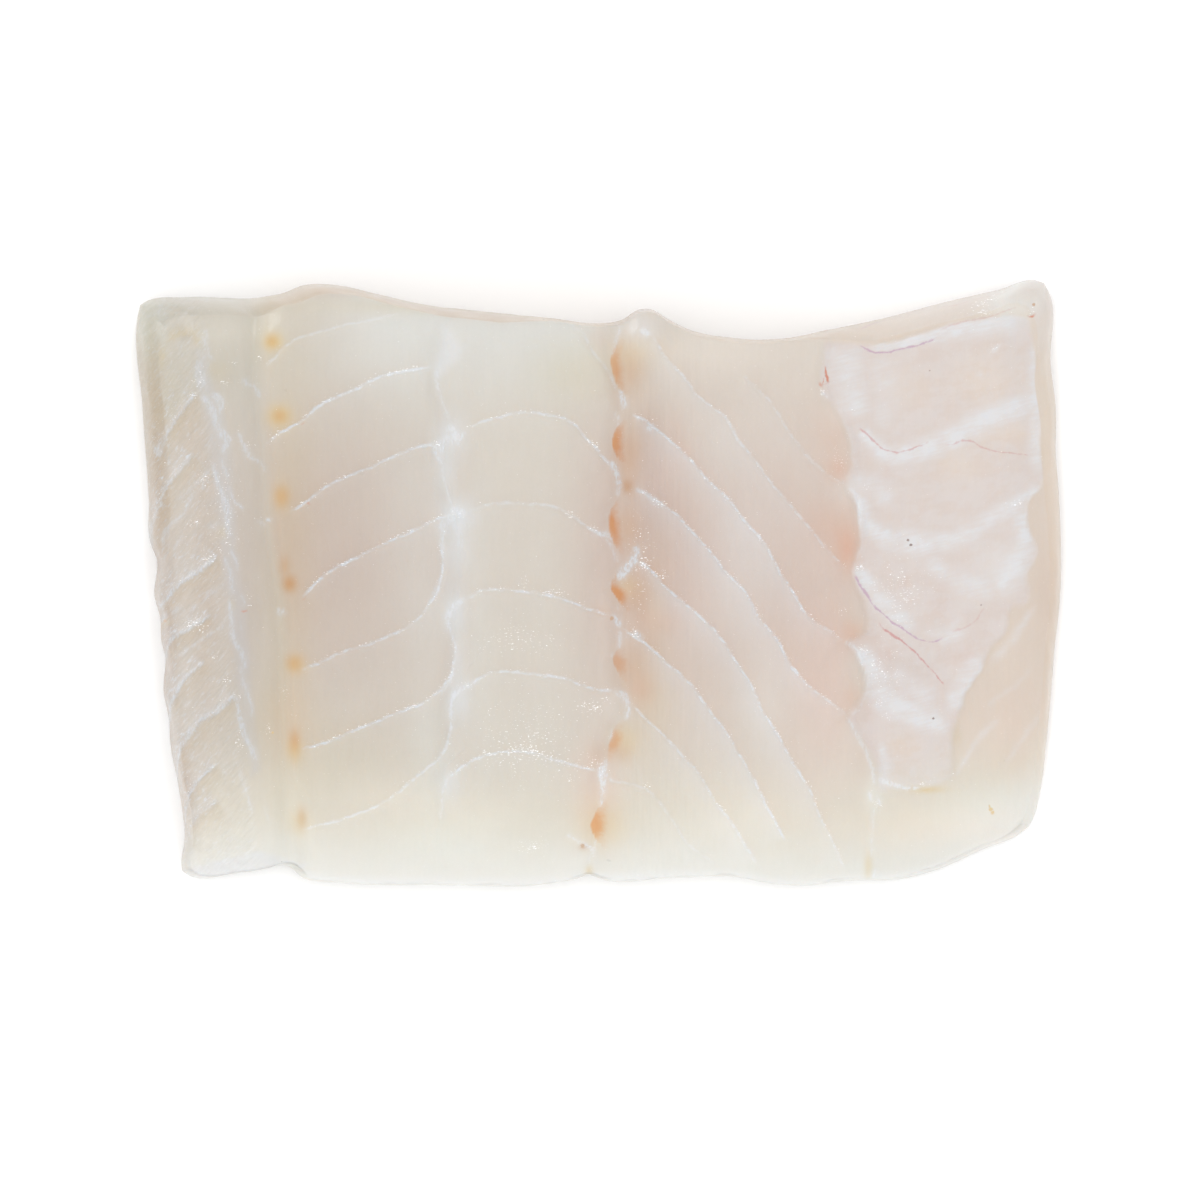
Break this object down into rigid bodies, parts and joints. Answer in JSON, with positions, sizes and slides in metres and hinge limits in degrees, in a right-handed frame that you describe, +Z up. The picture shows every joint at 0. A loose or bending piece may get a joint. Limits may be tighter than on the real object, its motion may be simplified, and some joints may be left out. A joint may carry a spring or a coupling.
{
  "type": "skinless cod portion",
  "caption": "Skinless portion of raw white fish: a soft block with a flat underside, its flakes in slanting rows between shallow valleys, and a thin white lining on the belly side.",
  "frame": {"origin": "middle of the footprint, at the level of the board the portion lies on", "axes": "+X across the side of the fish, from its back to its belly; +Y towards its head; +Z up, out of the inner side"},
  "size_m": [0.1388, 0.091, 0.0223],
  "materials": {
    "raw_cod": "wet, translucent raw flesh"
  },
  "bodies": {
    "root": {"cod_portion": "raw_cod"}
  },
  "joints": []
}
